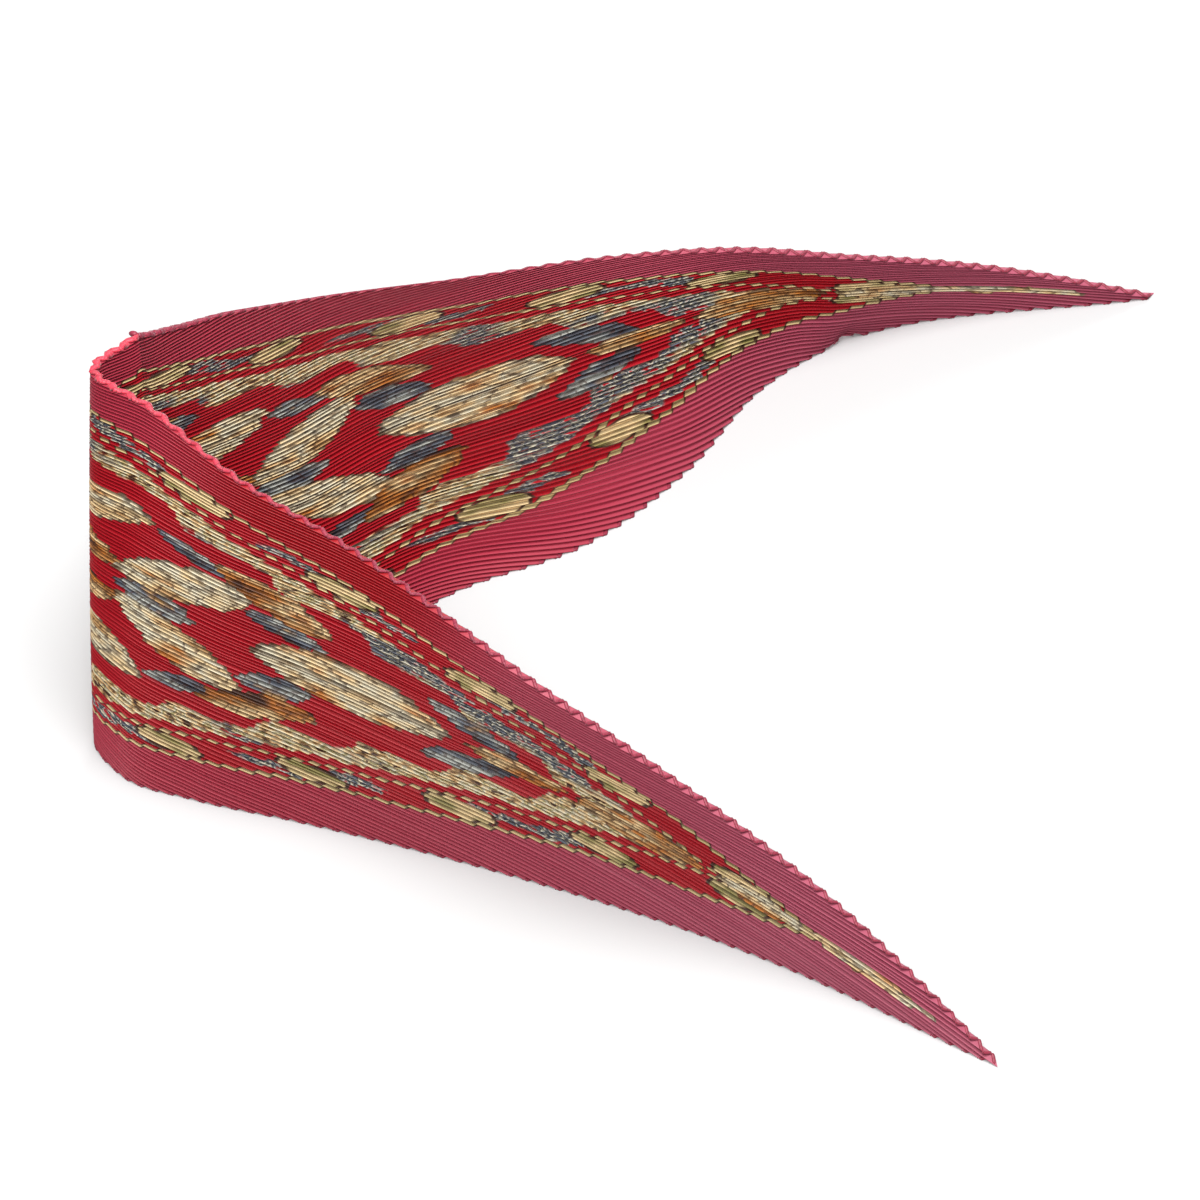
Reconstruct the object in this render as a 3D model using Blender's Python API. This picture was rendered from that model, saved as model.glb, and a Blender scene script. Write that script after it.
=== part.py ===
"""A square silk scarf, pleated along one diagonal and standing in a bend on its lower edges.

Metres, Z up. The foot of the cloth is on z = 0 and the origin is under the middle of its box.

The square has a corner at each end of the long way, so pleated it closes to a lozenge with two
points. Places on it are given by a fold line (0 in the middle, minus below, plus above) and by how
far along it is (-1 at the near point, 0 at the widest place in the bend, +1 at the far point).
"""
import math

import bpy
import numpy as np

# The square and its pleats
SQUARE_SIDE = 0.900
HALF_DIAGONAL = SQUARE_SIDE * math.sqrt(2) / 2
PLEATS = 100                                # ridges, with as many grooves between them
FOLD_STEP = HALF_DIAGONAL / PLEATS          # each fold line ends this much sooner than the one inside it
CLOSED_WIDTH = 0.286                        # across all the pleats at the widest place, before it is opened
PLEAT_DEPTH = 0.0062
GROOVE_DEPTH = 0.0031
PANEL_WALL = PLEAT_DEPTH - GROOVE_DEPTH     # measured straight through the band

# The rolled hems, which stand a little proud of the pleats on both sides
HEM_DEPTH = 0.0070
HEM_WALL = 0.0024
HEM_HEIGHT = 0.0012                         # of an upper hem; a lower one fills its step down to the floor

# Room between pieces that meet
GAP = 0.0003
HEM_ROOM = 0.00042                          # a little more, as the panel is straight between its stations

# The cloth is cut level where it stands and square to its own lean above that
LEVEL_BELOW = 0.003
SQUARE_ABOVE = 0.020

# From the bend's own plan to the middle of the box
SHIFT_X = -0.02066
SHIFT_Y = 0.04527

# How the band stands. Foot in millimetres in plan; lean as the sine of the angle that the cloth
# leans over towards +X and +Y; spread is how far the pleats are opened; sag is how much the band
# curves from its foot to its top; open_low is how much more the lower pleats are opened.
STATION_COLUMNS = ("along", "foot_x_mm", "foot_y_mm", "lean_x", "lean_y", "spread", "sag_deg", "open_low")
STATIONS = (
    (-1.00, 210, -319, 0.20, 0.15, 1.18, 20, 0.05),
    (-0.75, 84, -246, 0.12, -0.01, 1.20, 22, 0.15),
    (-0.50, -47, -192, 0.10, -0.04, 1.17, 18, 0.27),
    (-0.30, -163, -155, 0.14, 0.13, 1.02, 17, 0.27),
    (-0.20, -219, -140, 0.12, 0.18, 0.99, 17, 0.25),
    (-0.12, -258, -124, 0.09, 0.23, 0.98, 17, 0.19),
    (-0.06, -273, -97, 0.03, 0.23, 0.91, 16, 0.13),
    (0.00, -236, -78, -0.04, 0.29, 0.84, 15, 0.08),
    (0.06, -196, -63, -0.14, 0.37, 0.83, 15, 0.06),
    (0.14, -144, -41, -0.26, 0.46, 0.85, 13, 0.07),
    (0.25, -82, 6, -0.38, 0.48, 0.86, 10, 0.20),
    (0.37, -10, 40, -0.42, 0.51, 0.93, 3, 0.43),
    (0.50, 48, 95, -0.31, 0.39, 0.96, -7, 0.52),
    (0.62, 91, 157, -0.08, 0.14, 0.94, -14, 0.50),
    (0.72, 136, 192, 0.10, -0.02, 0.93, -18, 0.45),
    (1.00, 319, 228, 0.20, 0.05, 1.01, -20, 0.40),
)

# Stations of each stretch, from its inner end outwards, by how many fold lines there is room for
# above and below the middle one. The widest place has room for all of them.
NEAR_ARM_ROOM = (82, 72, 62, 50, 38, 26, 14)
BEND_NEAR_ROOM = (100, 97, 94, 91, 88, 82)
BEND_FAR_ROOM = (100, 94)
FAR_ARM_ROOM = (94, 84, 74, 66, 58, 50, 42, 34, 26, 14)

# The hems start beside the middle fold line at a point and stop just short of a corner
HEM_FIRST_FOLD = 0.11
HEM_LAST_FOLD = 99.7

# Colours as the cloth's own, linear
PANEL_RED = (0.34, 0.006, 0.012)
BEND_RED = (0.30, 0.005, 0.011)
HEM_RED = (0.56, 0.040, 0.075)
SILK_ROUGHNESS = 0.45

NEAR, FAR = -1, 1
LOWER, UPPER = -1, 1


def column(name, along):
    """A column of the station table as a smooth curve, read at these places."""
    at = STATION_COLUMNS.index(name)
    knots = np.array([row[0] for row in STATIONS])
    values = np.array([float(row[at]) for row in STATIONS])
    width = np.diff(knots)
    rate = np.diff(values) / width
    slope = np.empty_like(values)
    slope[1:-1] = (rate[:-1] * width[1:] + rate[1:] * width[:-1]) / (width[1:] + width[:-1])
    slope[0] = rate[0]
    slope[-1] = rate[-1]
    span = np.clip(np.searchsorted(knots, along, side="right") - 1, 0, len(knots) - 2)
    step = width[span]
    t = (along - knots[span]) / step
    return ((1 + 2 * t) * (1 - t) ** 2 * values[span] + t * (1 - t) ** 2 * step * slope[span]
            + t * t * (3 - 2 * t) * values[span + 1] + t * t * (t - 1) * step * slope[span + 1])


def half_pitch(along):
    """Height of one pleat face, on average, at this place."""
    return CLOSED_WIDTH * column("spread", along) / (2 * PLEATS)


def band(along, rise):
    """The middle of the pleated band, with rise 0 at its lower edge and 1 at its upper edge."""
    height = 2 * PLEATS * half_pitch(along) * (1 - np.abs(along))
    lean_x = column("lean_x", along)
    lean_y = column("lean_y", along)
    lean = np.maximum(np.hypot(lean_x, lean_y), 1e-6)
    angle = np.arcsin(lean)
    sag = np.radians(column("sag_deg", along))
    sag = np.where(np.abs(sag) < 1e-4, 1e-4, sag)
    part_way = rise + column("open_low", along) * rise * (1 - rise)
    first = angle - sag / 2
    last = first + sag * part_way
    up = height * (np.sin(last) - np.sin(first)) / sag
    over = height * (np.cos(first) - np.cos(last)) / sag
    x = column("foot_x_mm", along) / 1000 + SHIFT_X + over * lean_x / lean
    y = column("foot_y_mm", along) / 1000 + SHIFT_Y + over * lean_y / lean
    return np.stack([x, y, up], axis=-1)


def on_fold(fold, along):
    """The middle of the band where a fold line passes this place."""
    room = PLEATS * (1 - np.abs(along))
    return band(along, 0.5 + 0.5 * fold / room)


def unit(vectors):
    return vectors / np.linalg.norm(vectors, axis=-1, keepdims=True)


def through(fold, along):
    """Direction straight through the band: level near the foot and square to the band above."""
    left = 1 - np.abs(along)
    d_fold = np.minimum(0.5, 0.25 * PLEATS * left)
    d_along = np.minimum(0.002, 0.3 * left)
    upwards = on_fold(fold + d_fold, along) - on_fold(fold - d_fold, along)
    onwards = on_fold(fold, along + d_along) - on_fold(fold, along - d_along)
    square = unit(np.cross(upwards, onwards))
    level = unit(square * np.array([1.0, 1.0, 0.0]))
    height = on_fold(fold, along)[..., 2]
    t = np.clip((height - LEVEL_BELOW) / (SQUARE_ABOVE - LEVEL_BELOW), 0.0, 1.0)
    t = (t * t * (3 - 2 * t))[..., None]
    return unit(level * (1 - t) + square * t)


def ridge(fold):
    """+1 on a ridge, -1 in a groove, and straight between them."""
    return 1 - 2 * np.abs(fold - 2 * np.round(fold / 2))


def both_faces(fold, along, depth, wall):
    """Points of the two faces of the cloth, with pleats of this depth over all."""
    fold = np.asarray(fold, dtype=float)
    along = np.asarray(along, dtype=float)
    out = through(fold, along)
    swing = (depth - wall) / 2
    middle = on_fold(fold, along) + out * (ridge(fold) * swing)[..., None]
    return middle + out * wall / 2, middle - out * wall / 2


def stretch(side, rooms, cut_inside, cut_outside):
    """One side of a stretch of the panel, as polygons of (fold, along), inner station first.

    A fold line ends one step short of the cloth's edge, where the hem takes over.
    """
    half_gap = GAP / 2 / HALF_DIAGONAL

    def place(room):
        along = side * (1 - room / PLEATS)
        if cut_inside and room == rooms[0]:
            along += side * half_gap
        if cut_outside and room == rooms[-1]:
            along -= side * half_gap
        return along

    polygons = []
    for level in (LOWER, UPPER):
        for fold in range(rooms[0] - 1):
            outer = fold + 1
            shared = [room for room in rooms if room >= outer + 1]
            corners = [[(fold, a), (fold, b), (outer, b), (outer, a)] for a, b in zip(shared, shared[1:])]
            if not (cut_outside and shared[-1] == rooms[-1]):
                end = [(fold, shared[-1]), (fold, fold + 1)]
                if shared[-1] > outer + 1:
                    end.append((outer, outer + 1))
                end.append((outer, shared[-1]))
                corners.append(end)
            for polygon in corners:
                points = [(level * line, place(room)) for line, room in polygon]
                polygons.append(points if side * level > 0 else points[::-1])
    return polygons


def panel_body(polygons):
    """Points and triangles of a closed wall over these polygons."""
    keys = {}
    faces = []
    for polygon in polygons:
        faces.append([keys.setdefault((fold, round(along, 7)), len(keys)) for fold, along in polygon])
    folds = [key[0] for key in keys]
    alongs = [key[1] for key in keys]
    front, back = both_faces(folds, alongs, PLEAT_DEPTH, PANEL_WALL)
    count = len(keys)
    sides = {}
    for face in faces:
        for a, b in zip(face, face[1:] + face[:1]):
            sides[(a, b)] = True
    solid = list(faces)
    solid += [[corner + count for corner in reversed(face)] for face in faces]
    solid += [[b, a, a + count, b + count] for a, b in sides if (b, a) not in sides]
    triangles = []
    for face in solid:
        triangles += [(face[0], face[i], face[i + 1]) for i in range(1, len(face) - 1)]
    return np.concatenate([front, back]), triangles


def hem_body(side, level):
    """One hem: a flat bead that follows the pleats along an edge of the cloth."""
    folds = np.array([HEM_FIRST_FOLD] + list(range(1, PLEATS)) + [HEM_LAST_FOLD])
    cloth_edge = side * (1 - folds / PLEATS)
    pitch = half_pitch(cloth_edge) * (1 - level * column("open_low", cloth_edge))
    inside = np.minimum(folds + 1 - HEM_ROOM / pitch, PLEATS - GAP / 2 / FOLD_STEP)
    outside = np.clip(inside - HEM_HEIGHT / pitch, 0.9 * folds, folds) if level == UPPER else folds
    at_edge = side * (1 - outside / PLEATS)
    at_panel = side * (1 - inside / PLEATS)
    edge_front, edge_back = both_faces(level * folds, at_edge, HEM_DEPTH, HEM_WALL)
    panel_front, panel_back = both_faces(level * folds, at_panel, HEM_DEPTH, HEM_WALL)
    if level == LOWER:
        edge_front[:, 2] = 0.0
        edge_back[:, 2] = 0.0
    rings = np.stack([edge_front, edge_back, panel_back, panel_front], axis=1)
    triangles = [(0, 1, 2), (0, 2, 3)]
    for i in range(len(folds) - 1):
        for j in range(4):
            a = 4 * i + j
            b = 4 * i + (j + 1) % 4
            triangles += [(a, a + 4, b + 4), (a, b + 4, b)]
    last = 4 * (len(folds) - 1)
    triangles += [(last + 2, last + 1, last), (last + 3, last + 2, last)]
    return rings.reshape(-1, 3), triangles


def facing_out(points, triangles):
    """The same triangles, turned if the body they close is inside out."""
    corners = points[np.array(triangles)]
    volume = np.einsum("ij,ij->i", corners[:, 0], np.cross(corners[:, 1], corners[:, 2])).sum() / 6
    return triangles if volume > 0 else [triangle[::-1] for triangle in triangles]


def silk(name, colour):
    material = bpy.data.materials.new(name)
    material.use_nodes = True
    shader = material.node_tree.nodes["Principled BSDF"]
    shader.inputs["Base Color"].default_value = (*colour, 1.0)
    shader.inputs["Roughness"].default_value = SILK_ROUGHNESS
    shader.inputs["Metallic"].default_value = 0.0
    material.diffuse_color = (*colour, 1.0)
    return material


def add_node(name, body, colour):
    points, triangles = body
    triangles = facing_out(points, triangles)
    mesh = bpy.data.meshes.new(name)
    mesh.from_pydata([tuple(map(float, p)) for p in points], [], [tuple(map(int, t)) for t in triangles])
    mesh.materials.append(silk(name + "_silk", colour))
    mesh.update()
    node = bpy.data.objects.new(name, mesh)
    bpy.context.scene.collection.objects.link(node)
    return node


def build():
    for old in list(bpy.context.scene.objects):
        bpy.data.objects.remove(old, do_unlink=True)
    near_arm = stretch(NEAR, NEAR_ARM_ROOM, cut_inside=True, cut_outside=False)
    bend = stretch(NEAR, BEND_NEAR_ROOM, cut_inside=False, cut_outside=True)
    bend += stretch(FAR, BEND_FAR_ROOM, cut_inside=False, cut_outside=True)
    far_arm = stretch(FAR, FAR_ARM_ROOM, cut_inside=True, cut_outside=False)
    add_node("near_arm", panel_body(near_arm), PANEL_RED)
    add_node("bend", panel_body(bend), BEND_RED)
    add_node("far_arm", panel_body(far_arm), PANEL_RED)
    add_node("hem_near_top", hem_body(NEAR, UPPER), HEM_RED)
    add_node("hem_near_bottom", hem_body(NEAR, LOWER), HEM_RED)
    add_node("hem_far_top", hem_body(FAR, UPPER), HEM_RED)
    add_node("hem_far_bottom", hem_body(FAR, LOWER), HEM_RED)


build()
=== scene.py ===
"""How the pleated silk scarf looks: printed silk, rolled hems, floor, light and camera.

Metres, Z up, in the frame of the part. Places on the cloth are given as in the part's source: by a
fold line (0 in the middle, minus below, plus above) and by how far along it is (-1 at the near
point, 0 at the widest place in the bend, +1 at the far point). The cloth has 124 pleats here, as the
photo's fold lines measure, where the solids have 100.
"""

import math

import bpy
import numpy as np
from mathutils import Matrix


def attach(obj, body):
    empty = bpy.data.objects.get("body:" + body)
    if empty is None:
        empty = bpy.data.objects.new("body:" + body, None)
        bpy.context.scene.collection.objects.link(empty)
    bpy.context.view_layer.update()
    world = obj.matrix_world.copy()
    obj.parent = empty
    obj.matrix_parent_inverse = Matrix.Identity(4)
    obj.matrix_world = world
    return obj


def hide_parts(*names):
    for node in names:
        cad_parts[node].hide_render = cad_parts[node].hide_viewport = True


# The square and its pleats
SQUARE_SIDE = 0.900
HALF_DIAGONAL = SQUARE_SIDE * math.sqrt(2) / 2
PLEATS = 124
CLOSED_WIDTH = 0.286
PLEAT_DEPTH = 0.0050
# Pleats swing level with the floor below the first height, and square to the band above the second
LEVEL_BELOW = 0.003
SQUARE_ABOVE = 0.020
# From the places in the table below to the frame of the part
SHIFT_X = -0.02066
SHIFT_Y = 0.04527

# How the band stands: its foot in plan, its lean over as the sine of the angle, how far the pleats are
# opened, how much the band curves from foot to top, and how much more the lower pleats are opened
STATION_COLUMNS = ("along", "foot_x_mm", "foot_y_mm", "lean_x", "lean_y", "spread", "sag_deg", "open_low")
STATIONS = (
    (-1.00, 210, -319, 0.20, 0.15, 1.18, 20, 0.05),
    (-0.75, 84, -246, 0.12, -0.01, 1.20, 22, 0.15),
    (-0.50, -47, -192, 0.10, -0.04, 1.17, 18, 0.27),
    (-0.30, -163, -155, 0.14, 0.13, 1.02, 17, 0.27),
    (-0.20, -219, -140, 0.12, 0.18, 0.99, 17, 0.25),
    (-0.12, -258, -124, 0.09, 0.23, 0.98, 17, 0.19),
    (-0.06, -273, -97, 0.03, 0.23, 0.91, 16, 0.13),
    (0.00, -236, -78, -0.04, 0.29, 0.84, 15, 0.08),
    (0.06, -196, -63, -0.14, 0.37, 0.83, 15, 0.06),
    (0.14, -144, -41, -0.26, 0.46, 0.85, 13, 0.07),
    (0.25, -82, 6, -0.38, 0.48, 0.86, 10, 0.20),
    (0.37, -10, 40, -0.42, 0.51, 0.93, 3, 0.43),
    (0.50, 48, 95, -0.31, 0.39, 0.96, -7, 0.52),
    (0.62, 91, 157, -0.08, 0.14, 0.94, -14, 0.50),
    (0.72, 136, 192, 0.10, -0.02, 0.93, -18, 0.45),
    (1.00, 319, 228, 0.20, 0.05, 1.01, -20, 0.40),
)
# Below these a lean or a curve (in radians) is too small to divide by
LEAST_LEAN = 1e-6
LEAST_SAG = 1e-4
# Steps across and along over which the cloth's directions are measured
FOLD_STEP = 0.5
ALONG_STEP = 0.002

# How the folds stray from even spacing, in folds: how far, waves across and along, and their start
STRAYS = (
    (0.10, 2.40, 9, 0.0),
    (0.08, 1.10, -14, 1.0),
    (0.05, 3.00, 23, 2.0),
    (0.45, 0.26, 6, 0.0),
    (0.25, 0.61, -11, 0.7),
)
# How quickly the straying dies away next to the edge of the cloth
HELD_AT_EDGE = 4
# Pleat depth as a share of the full depth, how much and in what waves it varies (across, along and
# their start), and how much the creases are blunted
USUAL_DEPTH = 0.95
DEPTH_VARIES = 0.05
DEPTH_WAVES = ((1.7, 12, 0.0), (0.43, -5, 0.4))
BLUNTED = 0.06
BLUNTED_NEAR_CREASE = 12

# How finely the cloth is drawn: points across each pleat face, and rows along the scarf, which are
# closer together in the bend
FACE_POINTS = (0.0, 0.14, 0.86)
ROWS = 128
FINE_PLACES = 4001
BEND_AT = -0.05
BEND_REACH = 0.14
BEND_ROWS = 1.2
OUTERMOST_FOLD = PLEATS - 0.14
CORNER_ROOM = 1e-4

# The small kink in the far arm's lower edge: how far along it is, its half length along, how many
# folds up it fades, how far it lifts the edge, and which way
KINK_ALONG = 0.725
KINK_REACH = 0.013
KINK_FOLDS = 7
KINK_LIFT = 0.0045
KINK_WAY = (0.0, 0.3, 1.0)

# The rolled hem, plumper round the top of the bend by a factor that fades with distance along, its
# rings in each pleat and the corners of a ring, and the knots at the two wide corners: through the
# cloth, along it and up it
FLOOR_GAP = 0.0003
HEM_WIDTH = 0.0022
HEM_THICKNESS = 0.0012
HEM_AT_BEND = 2.3
HEM_BEND_REACH = 0.20
HEM_RINGS = (0.0, 0.1, 0.3, 0.5, 0.7, 0.9)
HEM_CORNERS = 8
HEM_START_FOLD = 0.2
HEM_LEAST_FOLD = 0.02
SLOPE_STEP = 0.08
STITCH_EVERY = 0.0045
KNOT_RINGS = 7
KNOT_CORNERS = 12
KNOT_SIZE = (0.0056, 0.0040, 0.0036)
KNOT_REACH = 0.0014


# Shape of the band
def column(name, along):
    """A column of the station table as a smooth curve, read at these places."""
    at = STATION_COLUMNS.index(name)
    knots = np.array([row[0] for row in STATIONS])
    values = np.array([float(row[at]) for row in STATIONS])
    width = np.diff(knots)
    rate = np.diff(values) / width
    slope = np.empty_like(values)
    slope[1:-1] = (rate[:-1] * width[1:] + rate[1:] * width[:-1]) / (width[1:] + width[:-1])
    slope[0] = rate[0]
    slope[-1] = rate[-1]
    span = np.clip(np.searchsorted(knots, along, side="right") - 1, 0, len(knots) - 2)
    step = width[span]
    t = (along - knots[span]) / step
    return ((1 + 2 * t) * (1 - t) ** 2 * values[span] + t * (1 - t) ** 2 * step * slope[span]
            + t * t * (3 - 2 * t) * values[span + 1] + t * t * (t - 1) * step * slope[span + 1])


def half_pitch(along):
    """Height of one pleat face, on average, at this place."""
    return CLOSED_WIDTH * column("spread", along) / (2 * PLEATS)


def band(along, rise):
    """The middle of the pleated band, with rise 0 at its lower edge and 1 at its upper edge."""
    height = 2 * PLEATS * half_pitch(along) * (1 - np.abs(along))
    lean_x = column("lean_x", along)
    lean_y = column("lean_y", along)
    lean = np.maximum(np.hypot(lean_x, lean_y), LEAST_LEAN)
    angle = np.arcsin(lean)
    sag = np.radians(column("sag_deg", along))
    sag = np.where(np.abs(sag) < LEAST_SAG, LEAST_SAG, sag)
    part_way = rise + column("open_low", along) * rise * (1 - rise)
    first = angle - sag / 2
    last = first + sag * part_way
    up = height * (np.sin(last) - np.sin(first)) / sag
    over = height * (np.cos(first) - np.cos(last)) / sag
    x = column("foot_x_mm", along) / 1000 + SHIFT_X + over * lean_x / lean
    y = column("foot_y_mm", along) / 1000 + SHIFT_Y + over * lean_y / lean
    return np.stack([x, y, up], axis=-1)


def on_fold(fold, along):
    """The middle of the band where a fold line passes this place."""
    room = PLEATS * (1 - np.abs(along))
    return band(along, 0.5 + 0.5 * fold / room)


def unit(vectors):
    return vectors / np.linalg.norm(vectors, axis=-1, keepdims=True)


def directions(fold, along):
    """Straight through the band, along its fold lines, and up it across them."""
    left = 1 - np.abs(along)
    d_fold = np.minimum(FOLD_STEP, 0.25 * PLEATS * left)
    d_along = np.minimum(ALONG_STEP, 0.3 * left)
    upwards = on_fold(fold + d_fold, along) - on_fold(fold - d_fold, along)
    onwards = on_fold(fold, along + d_along) - on_fold(fold, along - d_along)
    square = unit(np.cross(upwards, onwards))
    level = unit(square * np.array([1.0, 1.0, 0.0]))
    height = on_fold(fold, along)[..., 2]
    t = np.clip((height - LEVEL_BELOW) / (SQUARE_ABOVE - LEVEL_BELOW), 0.0, 1.0)
    t = (t * t * (3 - 2 * t))[..., None]
    return unit(level * (1 - t) + square * t), unit(onwards), unit(upwards)


# Pleats on the band
def uneven(fold, along):
    """How far a fold strays from its even place, in folds. The edges of the cloth stay put."""
    room = PLEATS * (1 - np.abs(along))
    inside = 1 - np.clip(np.abs(fold) / np.maximum(room, 1e-6), 0, 1) ** HELD_AT_EDGE
    strayed = [far * np.sin(across * fold + on * along + start) for far, across, on, start in STRAYS]
    return inside * sum(strayed)


def depth_share(fold, along):
    """How deep a pleat is, as a share of the full depth."""
    waves = [np.sin(across * fold + on * along + start) for across, on, start in DEPTH_WAVES]
    return USUAL_DEPTH + DEPTH_VARIES * math.prod(waves)


def ridge(fold):
    """+1 on a ridge, -1 in a groove, and straight between them."""
    return 1 - 2 * np.abs(fold - 2 * np.round(fold / 2))


def soft_ridge(fold):
    """As ridge, with the very crease a little blunted."""
    return ridge(fold) * (1 - BLUNTED * np.abs(ridge(fold)) ** BLUNTED_NEAR_CREASE)


def kinked(place, fold, along):
    """The place with the small kink of the far arm's lower edge in it."""
    from_edge = fold + PLEATS * (1 - np.abs(along))
    lift = KINK_LIFT * np.exp(-((along - KINK_ALONG) / KINK_REACH) ** 2 - (from_edge / KINK_FOLDS) ** 2)
    return place + lift[..., None] * np.array(KINK_WAY)


def cloth_point(fold, along):
    """A point of the pleated cloth."""
    out, _, _ = directions(fold, along)
    place = kinked(on_fold(fold + uneven(fold, along), along), fold, along)
    swing = PLEAT_DEPTH / 2 * depth_share(fold, along) * soft_ridge(fold)
    return place + out * swing[..., None]


def rows_along():
    """Places from -1 to +1, closer together in the bend."""
    fine = np.linspace(-1, 1, FINE_PLACES)
    density = 1 + BEND_ROWS * np.exp(-((fine - BEND_AT) / BEND_REACH) ** 2)
    travelled = np.concatenate([[0], np.cumsum((density[1:] + density[:-1]) / 2)])
    return np.interp(np.linspace(0, travelled[-1], ROWS + 1), travelled, fine)


# Meshes
def new_piece(name, points, quads, flat):
    """A smooth mesh object with the cloth's flat coordinates kept on its points."""
    mesh = bpy.data.meshes.new(name)
    mesh.vertices.add(len(points))
    mesh.vertices.foreach_set("co", np.asarray(points, dtype=np.float32).ravel())
    mesh.loops.add(quads.size)
    mesh.loops.foreach_set("vertex_index", quads.ravel().astype(np.int32))
    mesh.polygons.add(len(quads))
    mesh.polygons.foreach_set("loop_start", np.arange(0, quads.size, 4, dtype=np.int32))
    mesh.polygons.foreach_set("use_smooth", np.ones(len(quads), dtype=bool))
    kept = mesh.attributes.new("flat", "FLOAT_VECTOR", "POINT")
    kept.data.foreach_set("vector", np.asarray(flat, dtype=np.float32).ravel())
    mesh.update(calc_edges=True)
    mesh.validate()
    piece = bpy.data.objects.new(name, mesh)
    bpy.context.scene.collection.objects.link(piece)
    return piece


def grid_quads(rows, columns, closed=False):
    """Quads over a grid of points, row by row; closed joins the last column to the first."""
    row = np.arange(rows - 1)[:, None] * columns
    last = columns if closed else columns - 1
    here = np.arange(last)
    there = (here + 1) % columns
    quads = np.stack([row + here, row + there, row + columns + there, row + columns + here], axis=-1)
    return quads.reshape(-1, 4)


def make_panel():
    """The whole square of silk, pleated and standing in its bend."""
    whole = np.arange(-PLEATS, PLEATS)[:, None] + np.array(FACE_POINTS)
    folds = np.clip(np.append(whole.ravel(), PLEATS), -OUTERMOST_FOLD, OUTERMOST_FOLD)
    fold, share = np.meshgrid(folds, rows_along(), indexing="ij")
    along = share * (1 - np.abs(fold) / PLEATS)
    along = np.clip(along, CORNER_ROOM - 1, 1 - CORNER_ROOM)
    points = cloth_point(fold, along)
    points[..., 2] = np.maximum(points[..., 2], FLOOR_GAP)
    # The third value, +1 on a ridge and -1 in a groove, places the painted shade and the painted glow in
    # the grooves
    flat = np.stack([along * HALF_DIAGONAL, fold / PLEATS * HALF_DIAGONAL, ridge(fold)], axis=-1)
    return new_piece("silk_panel", points.reshape(-1, 3), grid_quads(*fold.shape), flat.reshape(-1, 3))


def make_hem(name, side, level):
    """A hand-rolled hem: a plump flat roll that follows every pleat along one edge of the cloth."""
    steps = np.concatenate([k + np.array(HEM_RINGS) for k in range(PLEATS)])
    steps = steps[(steps > HEM_START_FOLD) & (steps < OUTERMOST_FOLD)]
    in_bend = np.exp(-((1 - steps / PLEATS) / HEM_BEND_REACH) ** 2)
    plumper = 1 + (HEM_AT_BEND - 1) * in_bend * (level > 0)
    inward = HEM_WIDTH * plumper / math.sqrt(2) / HALF_DIAGONAL
    turn = np.arange(HEM_CORNERS) * 2 * math.pi / HEM_CORNERS
    across = 0.5 - 0.5 * np.cos(turn)
    thick = np.sin(turn)
    rings = []
    for share, plump in zip(across, thick):
        fold = np.maximum(steps - share * inward * PLEATS, HEM_LEAST_FOLD)
        along = side * np.clip(1 - steps / PLEATS - share * inward, CORNER_ROOM, 1 - CORNER_ROOM)
        out, _, up = directions(level * fold, along)
        pitch = half_pitch(along)[:, None]
        swing = PLEAT_DEPTH / 2 * soft_ridge(level * fold)
        climb = soft_ridge(level * fold + SLOPE_STEP) - soft_ridge(level * fold - SLOPE_STEP)
        rise = climb / (2 * SLOPE_STEP) * PLEAT_DEPTH / 2
        face = unit(out * pitch - up * rise[:, None])
        middle = kinked(on_fold(level * fold, along), level * fold, along) + out * swing[:, None]
        ring = middle + face * (plump * plumper * HEM_THICKNESS / 2)[:, None]
        ring[:, 2] = np.maximum(ring[:, 2], FLOOR_GAP)
        rings.append(ring)
    points = np.stack(rings, axis=1)
    for end in (0, -1):
        points[end] = points[end].mean(axis=0)
    run = np.repeat(steps[:, None] / PLEATS * SQUARE_SIDE, HEM_CORNERS, axis=1)
    # Only the near arm's upper hem gets the painted highlight into the bend
    gets_painted_light = np.full_like(run, side < 0 < level)
    flat = np.stack([run, np.repeat(across[None] * HEM_WIDTH, len(steps), axis=0), gets_painted_light], axis=-1)
    quads = grid_quads(len(steps), HEM_CORNERS, closed=True)
    return new_piece(name, points.reshape(-1, 3), quads, flat.reshape(-1, 3))


def make_knot(name, level):
    """The small hard knot of rolled silk where two hems meet at a wide corner of the square."""
    fold, along = np.array([level * OUTERMOST_FOLD]), np.array([0.0])
    out, onwards, up = (way[0] for way in directions(fold, along))
    centre = on_fold(fold, along)[0] + out * KNOT_REACH
    centre[2] = max(centre[2], KNOT_SIZE[2] / 2 + FLOOR_GAP)
    tilts = np.linspace(0, math.pi, KNOT_RINGS)
    turns = np.arange(KNOT_CORNERS) * 2 * math.pi / KNOT_CORNERS
    tilt, turn = np.meshgrid(tilts, turns, indexing="ij")
    ball = (np.cos(tilt)[..., None] * out * KNOT_SIZE[0] / 2
            + (np.sin(tilt) * np.cos(turn))[..., None] * onwards * KNOT_SIZE[1] / 2
            + (np.sin(tilt) * np.sin(turn))[..., None] * up * KNOT_SIZE[2] / 2)
    points = (centre + ball).reshape(-1, 3)
    return new_piece(name, points, grid_quads(KNOT_RINGS, KNOT_CORNERS, closed=True), points)


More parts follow.
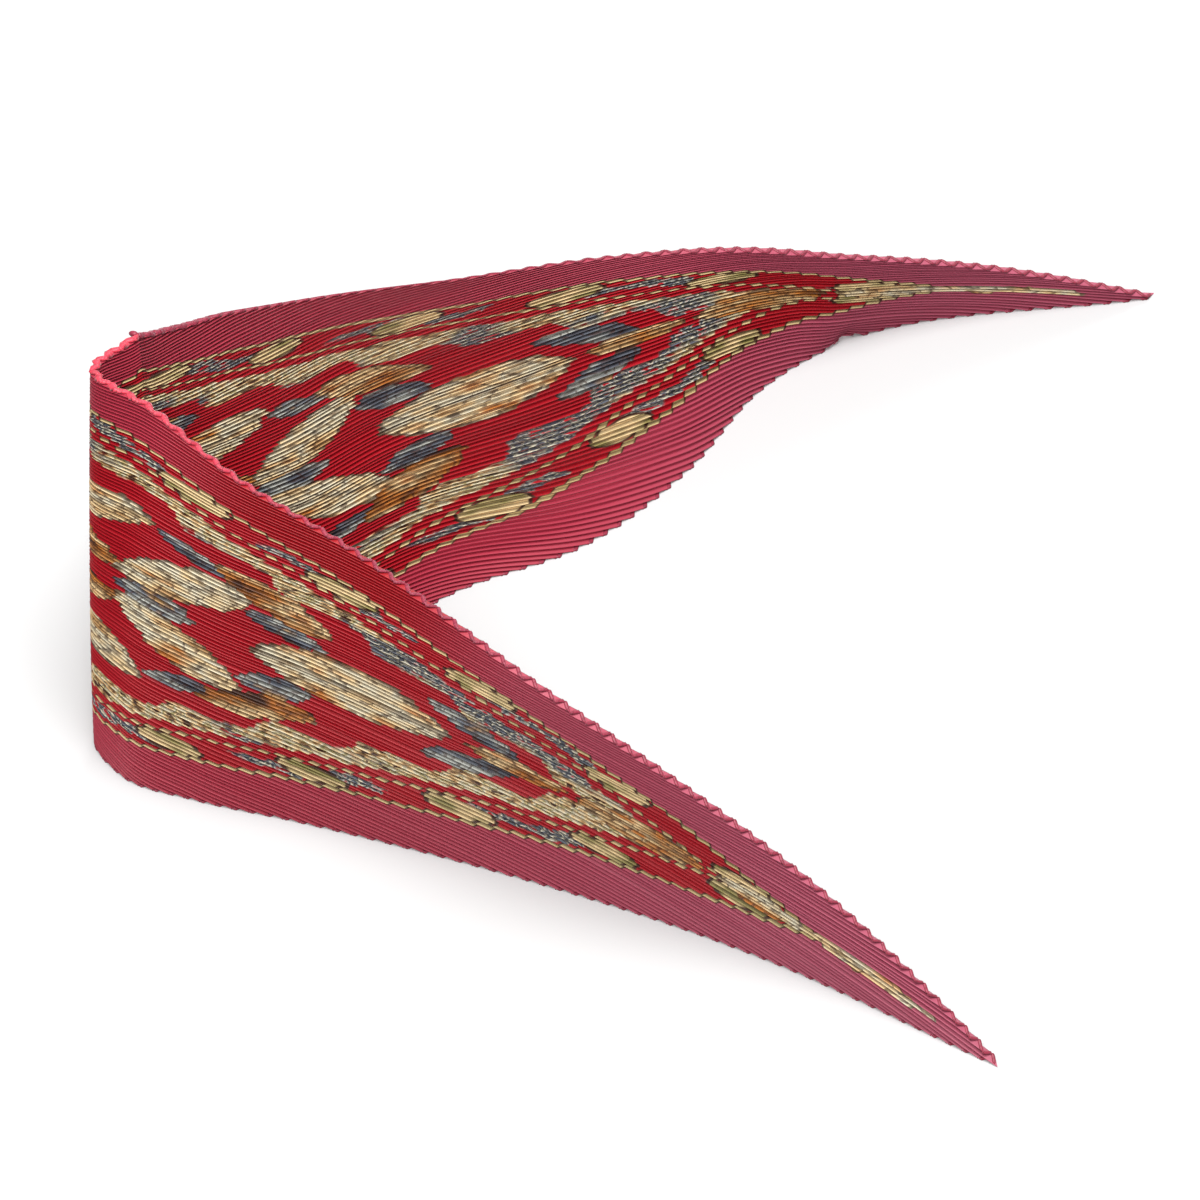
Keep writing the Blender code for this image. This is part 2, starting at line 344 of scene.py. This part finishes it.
# Materials
class Shader:
    """A material's nodes, made by short calls. A value is a number or another node's output."""

    def __init__(self, name):
        self.material = bpy.data.materials.new(name)
        self.material.use_nodes = True
        self.nodes = self.material.node_tree.nodes
        self.links = self.material.node_tree.links
        self.surface = self.nodes["Principled BSDF"]
        self.material.cycles.emission_sampling = "NONE"

    def put(self, value, socket):
        if isinstance(value, bpy.types.NodeSocket):
            self.links.new(value, socket)
        else:
            socket.default_value = value

    def math(self, operation, a, b=0.0):
        node = self.nodes.new("ShaderNodeMath")
        node.operation = operation
        for value, socket in zip((a, b), node.inputs):
            self.put(value, socket)
        return node.outputs[0]

    def add(self, a, b):
        return self.math("ADD", a, b)

    def sub(self, a, b):
        return self.math("SUBTRACT", a, b)

    def mul(self, a, b):
        return self.math("MULTIPLY", a, b)

    def above(self, value, edge, soft):
        """0 below the edge and 1 above it, with a soft step."""
        node = self.nodes.new("ShaderNodeMapRange")
        node.interpolation_type = "SMOOTHSTEP"
        self.put(value, node.inputs["Value"])
        self.put(edge - soft, node.inputs["From Min"])
        self.put(edge + soft, node.inputs["From Max"])
        return node.outputs["Result"]

    def between(self, value, low, high, soft):
        return self.mul(self.above(value, low, soft), self.sub(1.0, self.above(value, high, soft)))

    def mix(self, share, below, over):
        node = self.nodes.new("ShaderNodeMix")
        node.data_type = "RGBA"
        self.put(share, node.inputs["Factor"])
        for value, socket in ((below, node.inputs[6]), (over, node.inputs[7])):
            self.put(value if isinstance(value, bpy.types.NodeSocket) else (*value, 1.0), socket)
        return node.outputs[2]

    def ramp(self, value, colours):
        node = self.nodes.new("ShaderNodeValToRGB")
        stops = node.color_ramp.elements
        while len(stops) < len(colours):
            stops.new(0.5)
        for stop, (at, colour) in zip(stops, colours):
            stop.position = at
            stop.color = (*colour, 1.0)
        self.put(value, node.inputs[0])
        return node.outputs[0]

    def noises(self, place, scale, detail=2.0):
        node = self.nodes.new("ShaderNodeTexNoise")
        node.inputs["Scale"].default_value = scale
        node.inputs["Detail"].default_value = detail
        self.put(place, node.inputs["Vector"])
        return node.outputs

    def noise(self, place, scale, detail=2.0):
        return self.noises(place, scale, detail)["Fac"]

    def noise_colour(self, place, scale):
        """Three unlike noises at once, as a vector."""
        return self.noises(place, scale)["Color"]

    def blend(self, share, below, over):
        node = self.nodes.new("ShaderNodeMix")
        for value, at in ((share, 0), (below, 2), (over, 3)):
            self.put(value, node.inputs[at])
        return node.outputs[0]

    def attribute(self, name):
        node = self.nodes.new("ShaderNodeAttribute")
        node.attribute_name = name
        return node.outputs["Vector"]

    def split(self, vector):
        node = self.nodes.new("ShaderNodeSeparateXYZ")
        self.put(vector, node.inputs[0])
        return node.outputs

    def split_colour(self, colour):
        node = self.nodes.new("ShaderNodeSeparateColor")
        self.put(colour, node.inputs[0])
        return node.outputs

    def join(self, x, y, z=0.0):
        node = self.nodes.new("ShaderNodeCombineXYZ")
        for value, socket in zip((x, y, z), node.inputs):
            self.put(value, socket)
        return node.outputs[0]

    def bump(self, height, strength, distance):
        node = self.nodes.new("ShaderNodeBump")
        node.inputs["Strength"].default_value = strength
        node.inputs["Distance"].default_value = distance
        self.put(height, node.inputs["Height"])
        self.links.new(node.outputs[0], self.surface.inputs["Normal"])

    def leaf(self, place, leaf):
        """How far inside a pointed oval a place is (0 at the rim, 1 in the middle, minus outside), and
        where it is along the leaf and across it, from -1 to 1."""
        node = self.nodes.new("ShaderNodeMapping")
        node.vector_type = "TEXTURE"
        self.put(place, node.inputs["Vector"])
        node.inputs["Location"].default_value = (leaf["x"], leaf["y"], 0.0)
        node.inputs["Rotation"].default_value = (0.0, 0.0, math.radians(leaf["turn"]))
        node.inputs["Scale"].default_value = (leaf["length"] / 2, leaf["width"] / 2, 1.0)
        u, v, _ = self.split(node.outputs[0])
        lengthwise = self.sub(1.0, self.mul(u, u))
        return self.sub(lengthwise, self.math("POWER", self.math("ABSOLUTE", v), LEAF_FULLNESS)), u, v


# Colours of the print, linear
FIELD_RED = (0.37, 0.003, 0.011)
MARGIN_RED = (0.38, 0.028, 0.054)
POINT_RED = (0.37, 0.070, 0.117)
DEEP_RED = (0.31, 0.003, 0.008)
HEM_RED = (0.240, 0.021, 0.045)
# Painted highlight: the hem's pink where it faces up into the bend
HEM_PAINTED_LIGHT_PINK = (0.60, 0.045, 0.075)
CREAM = (0.76, 0.56, 0.30)
PALE = (0.64, 0.58, 0.43)
TAN = (0.44, 0.25, 0.10)
OCHRE = (0.48, 0.16, 0.025)
OLIVE = (0.26, 0.215, 0.07)
BROWN = (0.050, 0.018, 0.010)
SLATE = (0.10, 0.11, 0.135)
CHARCOAL = (0.022, 0.019, 0.026)
SILVER = (0.44, 0.44, 0.39)
# The colour that the painted shade on the pleat faces darkens towards
BLACK = (0.0, 0.0, 0.0)
SHADED = 0.85

# Paints that run through several colours, by where each comes
CREAM_PAINT = ((0.22, TAN), (0.36, CREAM), (0.52, PALE), (0.66, CREAM), (0.84, OCHRE))
OCHRE_PAINT = ((0.25, BROWN), (0.40, OCHRE), (0.55, TAN), (0.66, CREAM), (0.80, OCHRE))
SLATE_PAINT = ((0.25, CHARCOAL), (0.42, SLATE), (0.56, SILVER), (0.72, SLATE), (0.80, TAN))
BEAD_PAINT = ((0.35, OLIVE), (0.50, CREAM), (0.62, OLIVE))
LIGHT_SPECKS = (
    (0.34, BROWN), (0.40, TAN), (0.46, CREAM), (0.52, PALE), (0.57, OLIVE), (0.61, CREAM), (0.66, BROWN),
)
DARK_SPECKS = (
    (0.36, FIELD_RED), (0.42, SILVER), (0.46, CHARCOAL), (0.50, SLATE), (0.54, PALE), (0.58, CHARCOAL),
    (0.64, SLATE),
)

# Surface of the silk
SILK_SURFACE = (
    ("Roughness", 0.45),
    ("Specular IOR Level", 0.40),
    ("Sheen Weight", 0.20),
    ("Sheen Roughness", 0.35),
    ("Sheen Tint", (1.0, 0.70, 0.74, 1.0)),
)
TWILL_EVERY = 0.0007
TWILL_BUMP = (0.2, 0.0001)

# The hem's slanted stitches, as the span of each beat that a stitch takes and its soft edge, and the
# puckers between them: how fine, from what share and how softly. Then how strongly both are drawn, how
# dark they are and how much they stand out. The near arm's upper hem is painted lighter into the bend, a
# painted highlight where it faces up at the top of the bend, from this far along it and as softly as
# this.
STITCH_SLANT = 0.5
STITCH = (0.42, 0.58, 0.04)
PUCKER_SCALE = 260.0
PUCKERS = (0.58, 0.04)
MARKS_DRAWN = 0.45
MARKS_SHADE = 0.5
HEM_BUMP = (0.6, 0.0002)
PAINTED_LIGHT_FROM = SQUARE_SIDE * 0.80
PAINTED_LIGHT_SOFT = SQUARE_SIDE * 0.14

# The noises behind the print, by how fine they are, and how far a drawn line wanders
TONE_SCALE = 5.0
BLOTCH_SCALE = 24.0
STREAK_SCALE = 205.0
STREAK_STRETCH = 0.42
WANDER_SCALE = 60.0
WANDER = (0.014, 0.020)

# Soft edges of what is painted, of the thin lines, of the margin's light, and of the upper half
PAINT_SOFT = 0.001
LINE_SOFT = 0.0004
MARGIN_SOFT = 0.02
UPPER_SOFT = 0.05

# Leaves of the print in one quarter of the square, in metres as they look with the pleats shut:
# x along the pleats, y across them, turn in degrees. Paint 0 is cream, 0.5 is ochre and 1 is slate.
SHUT = 1 / 4.45
LEAF_FULLNESS = 1.4
LEAF_COLUMNS = ("x", "y", "length", "width", "turn", "paint")
LEAVES = [dict(zip(LEAF_COLUMNS, row)) for row in (
    (0.216, 0.0000, 0.126, 0.0310, 0, 0.0),
    (0.108, 0.0200, 0.092, 0.0250, 15, 0.0),
    (0.162, 0.0365, 0.078, 0.0175, -13, 0.5),
    (0.046, 0.0450, 0.088, 0.0240, 9, 0.0),
    (0.040, 0.0150, 0.060, 0.0170, -8, 0.5),
    (0.092, 0.0000, 0.056, 0.0130, 0, 1.0),
    (0.172, 0.0200, 0.052, 0.0120, -8, 1.0),
    (0.290, 0.0125, 0.062, 0.0110, -11, 1.0),
    (0.000, 0.0690, 0.084, 0.0150, 0, 1.0),
    (0.112, 0.0440, 0.046, 0.0100, -10, 1.0),
    (0.318, 0.0000, 0.066, 0.0110, 0, 0.5),
    (0.398, 0.0000, 0.086, 0.0170, 0, 0.5),
    (0.478, 0.0000, 0.060, 0.0110, 0, 0.0),
    (0.545, 0.0000, 0.105, 0.0066, 0, 0.0),
)]
# Where the paint number turns from cream to ochre and from ochre to slate, with a soft edge
OCHRE_FROM = (0.25, 0.01)
SLATE_FROM = (0.75, 0.01)
# The tone of a leaf: how much of the blotches, how much across it, and a shift
LEAF_TONE = (1.5, 0.16, 0.25)
# Side veins in half a leaf and their slant, where they begin in each beat and where they break off,
# the middle rib and the flecks, each with a soft edge, and how strongly all three are drawn
VEINS = 3.5
VEIN_SLANT = 1.6
VEIN_EDGE = (0.80, 0.08)
VEIN_BREAKS = (0.47, 0.05)
RIB_EDGE = (0.06, 0.04)
FLECK_EDGE = (0.61, 0.03)
VEIN_DRAWN = 0.75
RIB_DRAWN = 0.6
FLECK_DRAWN = 0.5
# The leaf's soft outline, and its dark rim: how ragged, how soft and how strongly drawn
LEAF_SOFT = 0.02
RIM_RAGGED = 0.2
RIM_SOFT = 0.03
RIM_DRAWN = 0.8
# Painted shade and painted sheen: the print is painted darker on the middle of each pleat face, standing
# in for the shade in the grooves, and left lighter along the creases as painted sheen lines, paint more
# than
# plain red: where the lighter crease begins and fades (0 is the middle of a pleat face, 1 its crease),
# how green a colour is that counts as paint, and how much painted shade is laid on
CREASE_EDGE = 0.62
CREASE_SOFT = 0.20
PAINTED_EDGE = (0.12, 0.10)
RED_PAINTED_SHADE = 0.02
PRINT_PAINTED_SHADE = 0.40
# Painted light: the grooves of the far arm glow in the cloth's own colour, standing in for the light that
# comes through the silk and the light the floor throws into its lower margin: how bright, how much more
# in its lower margin, where along the square it begins and how softly, and where a groove begins
GROOVE_EDGE = (0.35, 0.60)
GROOVE_PAINTED_GLOW = 0.28
LOW_MARGIN_PAINTED_GLOW = 0.36
LIT_FROM = 0.02
LIT_SOFT = 0.12
# The margins are paler towards both points, and deep red along part of the near arm's upper edge:
# how far out, and how softly each begins and ends, in metres along the flat square
PALE_FROM = 0.35
PALE_SOFT = 0.20
DEEP_SPAN = (-0.265, -0.105)
DEEP_SOFT = 0.05
# Frame stripes, by distance in from the edge of the square: two lines with dark rims, oval beads and
# broken scrolls between them, and a leafy border with a wavy inner rim
OUTER_LINE = 0.084
INNER_LINE = 0.128
LINE_WIDTHS = ((OUTER_LINE, 0.0058), (INNER_LINE, 0.0040))
LINE_RIM = 0.66
BEAD_EVERY = 0.126
BEAD_HALF_LENGTH = 0.027
BEAD_HALF_WIDTH = 0.0195
BEAD_RIM = 0.80
BEAD_SOFT = 0.05
SCROLL = (0.096, 0.115)
SCROLL_WAVE = 0.105
SCROLL_SWING = 0.006
SCROLL_EVERY = 0.21
SCROLL_FROM = 0.40
SCROLL_SOFT = 0.02
FOLIAGE = (0.144, 0.180)
FOLIAGE_WAVE = 0.083
FOLIAGE_SWING = 0.010
DARK_PATCHES = (0.68, 0.03)
PATCH_BLOTCHES = 0.3


def shaded(colour, share=SHADED):
    """The colour, darker."""
    return tuple(c * share for c in colour)


def leaf_paint(s, blotch, streak, paint, u, v):
    """The paint of a leaf: its ground, a darker middle rib and broken side veins."""
    side = s.math("ABSOLUTE", v)
    blotches, slope, shift = LEAF_TONE
    shade = s.sub(s.add(s.mul(blotch, blotches), s.mul(v, slope)), shift)
    colour = s.mix(s.above(paint, *OCHRE_FROM), s.ramp(shade, CREAM_PAINT), s.ramp(shade, OCHRE_PAINT))
    colour = s.mix(s.above(paint, *SLATE_FROM), colour, s.ramp(shade, SLATE_PAINT))
    beat = s.math("FRACT", s.add(s.mul(u, VEINS), s.mul(side, VEIN_SLANT)))
    veins = s.mul(s.above(beat, *VEIN_EDGE), s.above(streak, *VEIN_BREAKS))
    rib = s.sub(1.0, s.above(side, *RIB_EDGE))
    flecks = s.above(streak, *FLECK_EDGE)
    drawn = s.math("MAXIMUM", s.mul(veins, VEIN_DRAWN), s.mul(rib, RIB_DRAWN))
    marks = s.math("MAXIMUM", drawn, s.mul(flecks, FLECK_DRAWN))
    return s.mix(marks, colour, BROWN)


def silk(name):
    """A silk shader with the sheen that all the cloth shares."""
    s = Shader(name)
    for socket, value in SILK_SURFACE:
        s.surface.inputs[socket].default_value = value
    return s


class Print:
    """Where a place of the panel is in the print, and the noises that its colours run through."""

    def __init__(self, s):
        self.x, self.y, self.crease = s.split(s.attribute("flat"))
        plane = s.join(self.x, self.y)
        wander_x, wander_y, _ = s.split(s.noise_colour(plane, WANDER_SCALE))
        drawn_x = s.math("ABSOLUTE", s.add(self.x, s.mul(s.sub(wander_x, 0.5), WANDER[0])))
        drawn_y = s.math("ABSOLUTE", s.add(self.y, s.mul(s.sub(wander_y, 0.5), WANDER[1])))
        self.quarter = s.join(drawn_x, s.mul(drawn_y, SHUT))
        self.from_bend = s.math("ABSOLUTE", self.x)
        from_middle = s.math("ABSOLUTE", self.y)
        self.inwards = s.mul(s.sub(HALF_DIAGONAL, s.add(self.from_bend, from_middle)), 1 / math.sqrt(2))
        self.drawn_in = s.mul(s.sub(HALF_DIAGONAL, s.add(drawn_x, drawn_y)), 1 / math.sqrt(2))
        self.sideways = s.mul(s.sub(self.from_bend, from_middle), 1 / math.sqrt(2))
        self.upper = s.above(self.y, 0.0, UPPER_SOFT)
        self.tone = s.noise(plane, TONE_SCALE)
        self.blotch = s.noise(plane, BLOTCH_SCALE, 3.0)
        self.streak = s.noise(s.join(s.mul(self.x, STREAK_STRETCH), self.y), STREAK_SCALE, 2.0)


def ground(s, p):
    """Plain red: the margins, paler or deeper in places, and the field inside the outer line."""
    margin = s.mix(p.tone, MARGIN_RED, shaded(MARGIN_RED))
    margin = s.mix(s.above(p.from_bend, PALE_FROM, PALE_SOFT), margin, POINT_RED)
    margin = s.mix(s.mul(p.upper, s.between(p.x, *DEEP_SPAN, DEEP_SOFT)), margin, DEEP_RED)
    field = s.mix(p.tone, FIELD_RED, shaded(FIELD_RED))
    return s.mix(s.above(p.inwards, OUTER_LINE, PAINT_SOFT), margin, field)


def with_border(s, p, colour):
    """The colour with the broken scrolls and the speckled leafy border over it."""
    light_specks = s.ramp(p.streak, LIGHT_SPECKS)
    dark_specks = s.ramp(p.streak, DARK_SPECKS)
    mostly_dark = s.above(s.add(p.tone, s.mul(p.blotch, PATCH_BLOTCHES)), *DARK_PATCHES)
    wave = s.math("SINE", s.mul(p.sideways, 2 * math.pi / SCROLL_WAVE))
    scroll = s.between(s.add(p.drawn_in, s.mul(wave, SCROLL_SWING)), *SCROLL, PAINT_SOFT)
    broken = s.above(s.math("FRACT", s.mul(p.sideways, 1 / SCROLL_EVERY)), SCROLL_FROM, SCROLL_SOFT)
    colour = s.mix(s.mul(scroll, broken), colour, dark_specks)
    wave = s.math("SINE", s.mul(p.sideways, 2 * math.pi / FOLIAGE_WAVE))
    rim = s.add(p.drawn_in, s.mul(wave, FOLIAGE_SWING))
    past_start = s.above(p.drawn_in, FOLIAGE[0], PAINT_SOFT)
    leafy = s.mul(past_start, s.sub(1.0, s.above(rim, FOLIAGE[1], PAINT_SOFT)))
    return s.mix(leafy, colour, s.mix(mostly_dark, light_specks, dark_specks))


def with_frame(s, p, colour):
    """The colour with the oval beads and the two rimmed lines over it."""
    turn = s.sub(s.math("FRACT", s.mul(p.sideways, 1 / BEAD_EVERY)), 0.5)
    along = s.mul(turn, BEAD_EVERY / BEAD_HALF_LENGTH)
    across = s.mul(s.sub(p.inwards, (OUTER_LINE + INNER_LINE) / 2), 1 / BEAD_HALF_WIDTH)
    bead = s.add(s.mul(along, along), s.mul(across, across))
    colour = s.mix(s.sub(1.0, s.above(bead, 1.0, BEAD_SOFT)), colour, BROWN)
    colour = s.mix(s.sub(1.0, s.above(bead, BEAD_RIM, BEAD_SOFT)), colour, s.ramp(p.blotch, BEAD_PAINT))
    for at, width in LINE_WIDTHS:
        rim = s.between(p.inwards, at - width * LINE_RIM, at + width * LINE_RIM, LINE_SOFT)
        line = s.between(p.inwards, at - width / 2, at + width / 2, LINE_SOFT)
        colour = s.mix(rim, colour, BROWN)
        colour = s.mix(line, colour, s.mix(p.tone, CREAM, OLIVE))
    return colour


def with_leaves(s, p, colour):
    """The colour with the scattered leaves over it, each with a dark rim."""
    inside, u, v, paint = -1.0, 0.0, 0.0, 0.0
    for leaf in LEAVES:
        here, here_u, here_v = s.leaf(p.quarter, leaf)
        nearer = s.math("GREATER_THAN", here, inside)
        inside = s.math("MAXIMUM", here, inside)
        u = s.blend(nearer, u, here_u)
        v = s.blend(nearer, v, here_v)
        paint = s.blend(nearer, paint, leaf["paint"])
    painted = leaf_paint(s, p.blotch, p.streak, paint, u, v)
    past_rim = s.above(s.sub(inside, s.mul(p.streak, RIM_RAGGED)), 0.0, RIM_SOFT)
    painted = s.mix(s.mul(s.sub(1.0, past_rim), RIM_DRAWN), painted, BROWN)
    return s.mix(s.above(inside, 0.0, LEAF_SOFT), colour, painted)


def painted_shade_between_creases(s, p, colour):
    """The colour with painted shade laid on the faces of the pleats away from their creases, which stay
    lighter as painted sheen.
    """
    painted_sheen_crease = s.above(s.math("ABSOLUTE", p.crease), CREASE_EDGE, CREASE_SOFT)
    painted = s.above(s.split_colour(colour)[1], *PAINTED_EDGE)
    painted_face_shade = s.add(RED_PAINTED_SHADE, s.mul(painted, PRINT_PAINTED_SHADE))
    return s.mix(s.mul(s.sub(1.0, painted_sheen_crease), painted_face_shade), colour, BLACK)


def painted_glow_through(s, p):
    """How brightly this place of the cloth glows: painted light, standing in for light from behind that
    comes through the silk.
    """
    groove = s.above(p.crease, *GROOVE_EDGE)
    margin = s.sub(1.0, s.above(p.inwards, OUTER_LINE, MARGIN_SOFT))
    low_margin = s.mul(margin, s.sub(1.0, p.upper))
    light = s.add(GROOVE_PAINTED_GLOW, s.mul(low_margin, LOW_MARGIN_PAINTED_GLOW))
    return s.mul(s.mul(groove, s.above(p.x, LIT_FROM, LIT_SOFT)), light)


def printed_silk():
    """The panel: plain red margins, a striped frame with beads, a leafy border and scattered leaves."""
    s = silk("printed_silk")
    p = Print(s)
    colour = with_leaves(s, p, with_frame(s, p, with_border(s, p, ground(s, p))))
    # Painted shade on the middle of the pleat faces, with the creases left lighter as painted sheen
    colour = painted_shade_between_creases(s, p, colour)
    s.put(colour, s.surface.inputs["Base Color"])
    # The far arm's grooves glow in the cloth's own colour: painted light for light coming through the
    # silk
    s.put(colour, s.surface.inputs["Emission Color"])
    s.put(painted_glow_through(s, p), s.surface.inputs["Emission Strength"])
    s.bump(s.math("SINE", s.mul(s.add(p.x, p.y), 2 * math.pi / TWILL_EVERY)), *TWILL_BUMP)
    return s.material


def hem_silk():
    """The rolled hem, painted lighter into the bend as a painted highlight, with small slanted stitches
    and tiny puckers.
    """
    s = silk("hem_silk")
    run, across, gets_painted_light = s.split(s.attribute("flat"))
    place = s.join(run, across)
    beat = s.math("FRACT", s.add(s.mul(run, 1 / STITCH_EVERY), s.mul(across, STITCH_SLANT / HEM_WIDTH)))
    stitch = s.between(beat, *STITCH)
    tone = s.noise(place, PUCKER_SCALE)
    # Painted highlight on the hem, growing towards the top of the bend
    painted_light_share = s.mul(gets_painted_light, s.above(run, PAINTED_LIGHT_FROM, PAINTED_LIGHT_SOFT))
    colour = s.mix(painted_light_share, HEM_RED, HEM_PAINTED_LIGHT_PINK)
    marks = s.mul(s.math("MAXIMUM", stitch, s.above(tone, *PUCKERS)), MARKS_DRAWN)
    colour = s.mix(marks, colour, shaded(HEM_RED, MARKS_SHADE))
    s.put(colour, s.surface.inputs["Base Color"])
    s.bump(s.sub(tone, stitch), *HEM_BUMP)
    return s.material


def plain(name, colour, roughness, glow):
    """A plain surface with a faint glow of its own colour."""
    s = Shader(name)
    s.surface.inputs["Emission Color"].default_value = (*colour, 1.0)
    s.surface.inputs["Emission Strength"].default_value = glow
    s.surface.inputs["Base Color"].default_value = (*colour, 1.0)
    s.surface.inputs["Roughness"].default_value = roughness
    return s.material


# Scene
CAMERA_ELEVATION = 50
CAMERA_DISTANCE = 4.0
CAMERA_LENS = 216.6
CAMERA_SENSOR = 36
FLOOR_HALF = 4.0
FLOOR_GREY = (0.50, 0.50, 0.50)
FLOOR_ROUGHNESS = 0.9
FLOOR_GLOW = 0.06
WORLD_STRENGTH = 0.42
LIGHTS_AIM = (0, 0, 0.1)
LIGHTS = (
    ("key", (-0.5, -1.35, 2.7), 1.4, 68),
    ("top", (0.1, -0.1, 3.0), 1.4, 95),
    ("back", (0.7, 2.4, 1.5), 1.6, 26),
)
HEMS = (("near_top", -1, 1), ("near_bottom", -1, -1), ("far_top", 1, 1), ("far_bottom", 1, -1))


def add_camera():
    data = bpy.data.cameras.new("camera")
    data.lens = CAMERA_LENS
    data.sensor_width = CAMERA_SENSOR
    camera = bpy.data.objects.new("camera", data)
    tilt = math.radians(CAMERA_ELEVATION)
    back, up = CAMERA_DISTANCE * math.cos(tilt), CAMERA_DISTANCE * math.sin(tilt)
    camera.location = (SHIFT_X, SHIFT_Y - back, up)
    camera.rotation_euler = (math.pi / 2 - tilt, 0, 0)
    bpy.context.scene.collection.objects.link(camera)
    bpy.context.scene.camera = camera


def add_area_light(name, place, size, power):
    data = bpy.data.lights.new(name, "AREA")
    data.shape = "DISK"
    data.size = size
    data.energy = power
    light = bpy.data.objects.new(name, data)
    way = np.array(place) - np.array(LIGHTS_AIM)
    flat_run = math.hypot(way[0], way[1])
    light.location = place
    light.rotation_euler = (math.atan2(flat_run, way[2]), 0, math.atan2(way[0], -way[1]))
    bpy.context.scene.collection.objects.link(light)


def add_floor():
    mesh = bpy.data.meshes.new("floor")
    corners = [(x * FLOOR_HALF, y * FLOOR_HALF, 0) for x, y in ((-1, -1), (1, -1), (1, 1), (-1, 1))]
    mesh.from_pydata(corners, [], [(0, 1, 2, 3)])
    mesh.materials.append(plain("floor_white", FLOOR_GREY, FLOOR_ROUGHNESS, FLOOR_GLOW))
    floor = bpy.data.objects.new("floor", mesh)
    bpy.context.scene.collection.objects.link(floor)
    return floor


def add_world():
    world = bpy.data.worlds.new("soft_white")
    world.use_nodes = True
    back = world.node_tree.nodes["Background"]
    back.inputs["Color"].default_value = (1.0, 1.0, 1.0, 1.0)
    back.inputs["Strength"].default_value = WORLD_STRENGTH
    bpy.context.scene.world = world


def dress(floor):
    """The printed panel with its hems and knots, resting on the floor."""
    panel = make_panel()
    panel.data.materials.append(printed_silk())
    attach(panel, "root")
    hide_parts("near_arm", "bend", "far_arm")
    hem_material = hem_silk()
    trims = []
    for name, side, level in HEMS:
        hem = make_hem("rolled_hem_" + name, side, level)
        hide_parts("hem_" + name)
        trims.append(hem)
    trims += [make_knot("knot_top", 1), make_knot("knot_bottom", -1)]
    for trim in trims:
        trim.data.materials.append(hem_material)
        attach(trim, "root")


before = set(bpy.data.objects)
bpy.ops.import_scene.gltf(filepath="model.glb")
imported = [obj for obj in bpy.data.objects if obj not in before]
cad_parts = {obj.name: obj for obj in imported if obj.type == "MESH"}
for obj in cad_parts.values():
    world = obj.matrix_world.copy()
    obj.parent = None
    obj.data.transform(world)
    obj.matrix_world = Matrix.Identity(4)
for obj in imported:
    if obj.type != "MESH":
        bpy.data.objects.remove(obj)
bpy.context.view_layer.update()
dress(add_floor())
add_world()
for light in LIGHTS:
    add_area_light(*light)
bpy.context.scene.view_settings.view_transform = "Standard"
add_camera()
